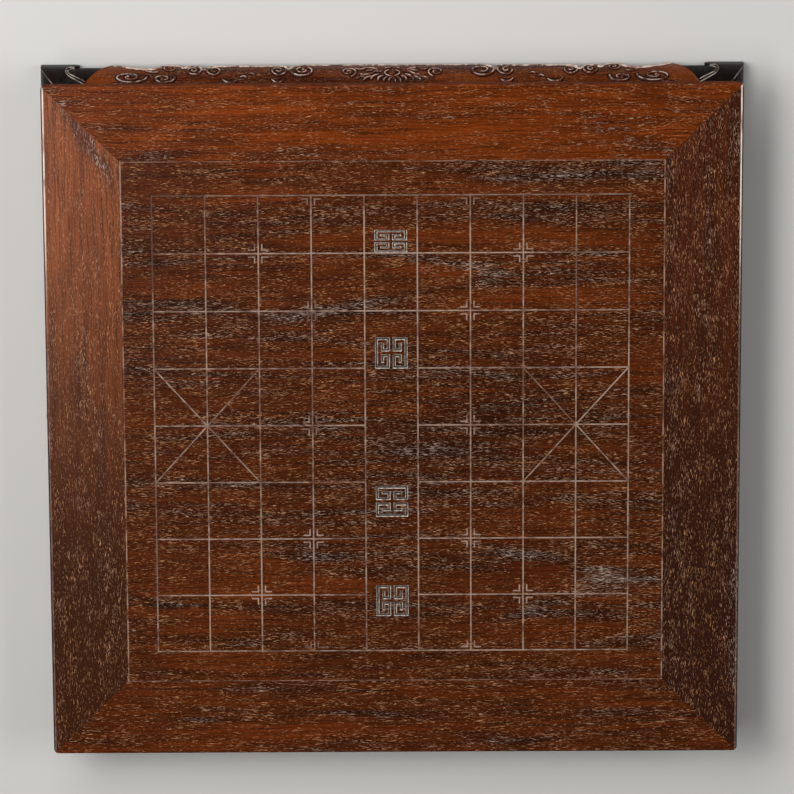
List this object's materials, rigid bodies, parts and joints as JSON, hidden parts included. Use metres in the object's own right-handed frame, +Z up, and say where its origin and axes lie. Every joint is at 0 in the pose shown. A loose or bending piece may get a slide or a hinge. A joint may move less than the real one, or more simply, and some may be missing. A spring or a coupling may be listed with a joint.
{
  "type": "xiangqi board box",
  "caption": "Square framed xiangqi board on a low carved, waisted stand with hoof feet, and a shallow drawer for chessmen on each player's side.",
  "frame": {"origin": "centre of the footprint, on the plane that the feet stand on", "axes": "+Z up through the board; +X and -X towards the two players; +Y along the river"},
  "size_m": [0.4532, 0.4532, 0.054],
  "materials": {
    "frame_wood": "open-pored reddish-brown hardwood, satin lacquer",
    "panel_wood": "figured dark red-brown hardwood, satin lacquer",
    "apron_wood": "carved red-brown hardwood, gloss lacquer",
    "waist_wood": "red-brown hardwood, satin lacquer",
    "leg_wood": "near-black hardwood, gloss lacquer",
    "inner_wood": "plain pale brown softwood, waxed",
    "line_filler": "pale pinkish-grey filler, worn",
    "brass": "turned brass, aged"
  },
  "bodies": {
    "case": {"apron_back": "apron_wood", "apron_front": "apron_wood", "apron_left": "apron_wood", "apron_right": "apron_wood", "board_panel": "panel_wood", "case_bottom": "inner_wood", "centre_partition": "inner_wood", "drawer_guide_left_back": "inner_wood", "drawer_guide_left_front": "inner_wood", "drawer_guide_right_back": "inner_wood", "drawer_guide_right_front": "inner_wood", "frame_back": "frame_wood", "frame_front": "frame_wood", "frame_left": "frame_wood", "frame_right": "frame_wood", "leg_back_left": "leg_wood", "leg_back_right": "leg_wood", "leg_front_left": "leg_wood", "leg_front_right": "leg_wood", "line_inlay": "line_filler", "panel_batten_left": "inner_wood", "panel_batten_right": "inner_wood", "waist_back": "waist_wood", "waist_front": "waist_wood", "waist_left_back_end": "waist_wood", "waist_left_front_end": "waist_wood", "waist_right_back_end": "waist_wood", "waist_right_front_end": "waist_wood"},
    "drawer_left": {"left_drawer_back": "inner_wood", "left_drawer_bottom": "inner_wood", "left_drawer_divider": "inner_wood", "left_drawer_front": "waist_wood", "left_drawer_knob": "brass", "left_drawer_left_side": "inner_wood", "left_drawer_right_side": "inner_wood", "left_drawer_rosette": "brass"},
    "drawer_right": {"right_drawer_back": "inner_wood", "right_drawer_bottom": "inner_wood", "right_drawer_divider": "inner_wood", "right_drawer_front": "waist_wood", "right_drawer_knob": "brass", "right_drawer_left_side": "inner_wood", "right_drawer_right_side": "inner_wood", "right_drawer_rosette": "brass"}
  },
  "joints": [
    {"name": "drawer_right_slide", "type": "slide", "parent": "case", "child": "drawer_right", "axis": [1, 0, 0], "range_m": [0, 0.15]},
    {"name": "drawer_left_slide", "type": "slide", "parent": "case", "child": "drawer_left", "axis": [-1, 0, 0], "range_m": [0, 0.15]}
  ]
}
